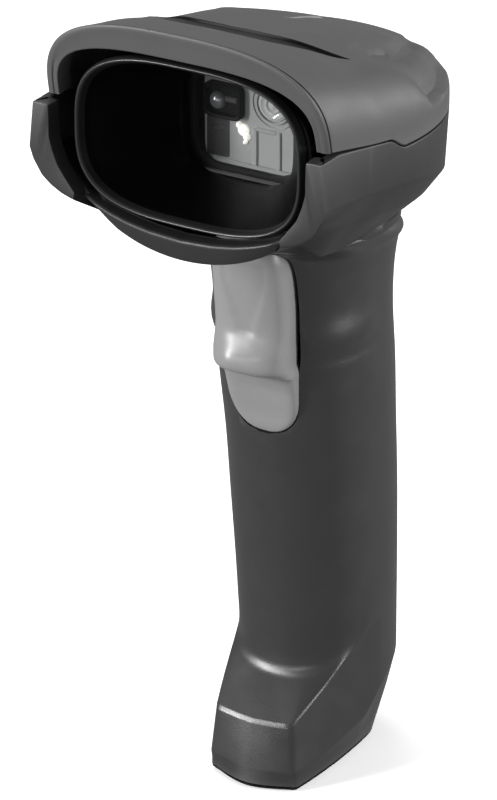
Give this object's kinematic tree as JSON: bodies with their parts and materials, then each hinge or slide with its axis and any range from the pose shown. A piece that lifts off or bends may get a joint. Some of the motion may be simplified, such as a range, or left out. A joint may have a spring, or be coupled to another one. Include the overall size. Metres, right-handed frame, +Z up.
{
  "type": "handheld barcode scanner",
  "caption": "Gun-shaped cordless barcode scanner: hooded head with a dark scan window, slim handle with a grey two-stage trigger, and a toed foot to stand on.",
  "frame": {"origin": "on the surface the scanner stands on, under the middle of its outline", "axes": "+Z up along the handle; the scan window looks along -Y; X is across, with the object symmetric about X = 0"},
  "size_m": [0.066, 0.08, 0.175],
  "materials": {
    "cover_plastic": "fine moulded texture, mid grey",
    "collar_plastic": "fine moulded texture, dark grey",
    "handle_plastic": "fine spark-eroded texture, dark grey, soft sheen",
    "base_plastic": "fine moulded texture, dark grey",
    "gloss_plastic": "piano black gloss",
    "light_pipe": "frosted clear moulding",
    "window_glass": "clear coated window",
    "foam": "black closed-cell foam",
    "light_guide": "pale translucent moulding",
    "black_plastic": "satin black",
    "lens_glass": "pale lens barrel with glass front",
    "aimer_glass": "ring lens",
    "circuit_board": "green solder mask",
    "led": "phosphor yellow dome",
    "flex_film": "amber polyimide",
    "tin": "tinned sheet",
    "steel": "plain steel",
    "gold": "gold-plated",
    "cell_wrap": "shrink sleeve",
    "trigger_plastic": "satin light grey",
    "white_plastic": "plain white"
  },
  "bodies": {
    "body": {"top_cover": "cover_plastic", "badge_insert": "gloss_plastic", "status_light_pipe": "light_pipe", "collar_housing": "collar_plastic", "nose_bezel": "gloss_plastic", "exit_window": "window_glass", "window_gasket": "foam", "illumination_plate": "light_guide", "engine_chassis": "black_plastic", "imager_lens": "lens_glass", "aimer_lens": "aimer_glass", "imager_board": "circuit_board", "illumination_led_left": "led", "illumination_led_right": "led", "engine_flex": "flex_film", "main_board": "circuit_board", "shield_can": "tin", "beeper": "black_plastic", "board_screw_left": "steel", "board_screw_right": "steel", "handle_shell": "handle_plastic", "base_cap": "base_plastic", "base_screw": "steel", "charge_contact_left": "gold", "charge_contact_right": "gold", "contact_board": "circuit_board", "battery_cell": "cell_wrap", "battery_contact": "gold", "trigger_pin": "steel", "trigger_board": "circuit_board", "trigger_switch": "black_plastic", "trigger_spring": "steel"},
    "trigger": {"trigger": "trigger_plastic"},
    "plunger": {"switch_plunger": "white_plastic"}
  },
  "joints": [
    {"name": "trigger_pull", "type": "hinge", "parent": "body", "child": "trigger", "pos_m": [0, -0.007, 0.122], "axis": [1, 0, 0], "range_deg": [0, 2.5], "stiffness_Nm_per_rad": 1.2, "springref_deg": -1.72, "deforming": ["trigger_spring"]},
    {"name": "switch_press", "type": "slide", "parent": "body", "child": "plunger", "axis": [0, 1, 0], "range_m": [0, 0.0008]}
  ],
  "couplings": [
    {"joint": "switch_press", "follows": "trigger_pull", "m_per_rad": 0.017}
  ]
}
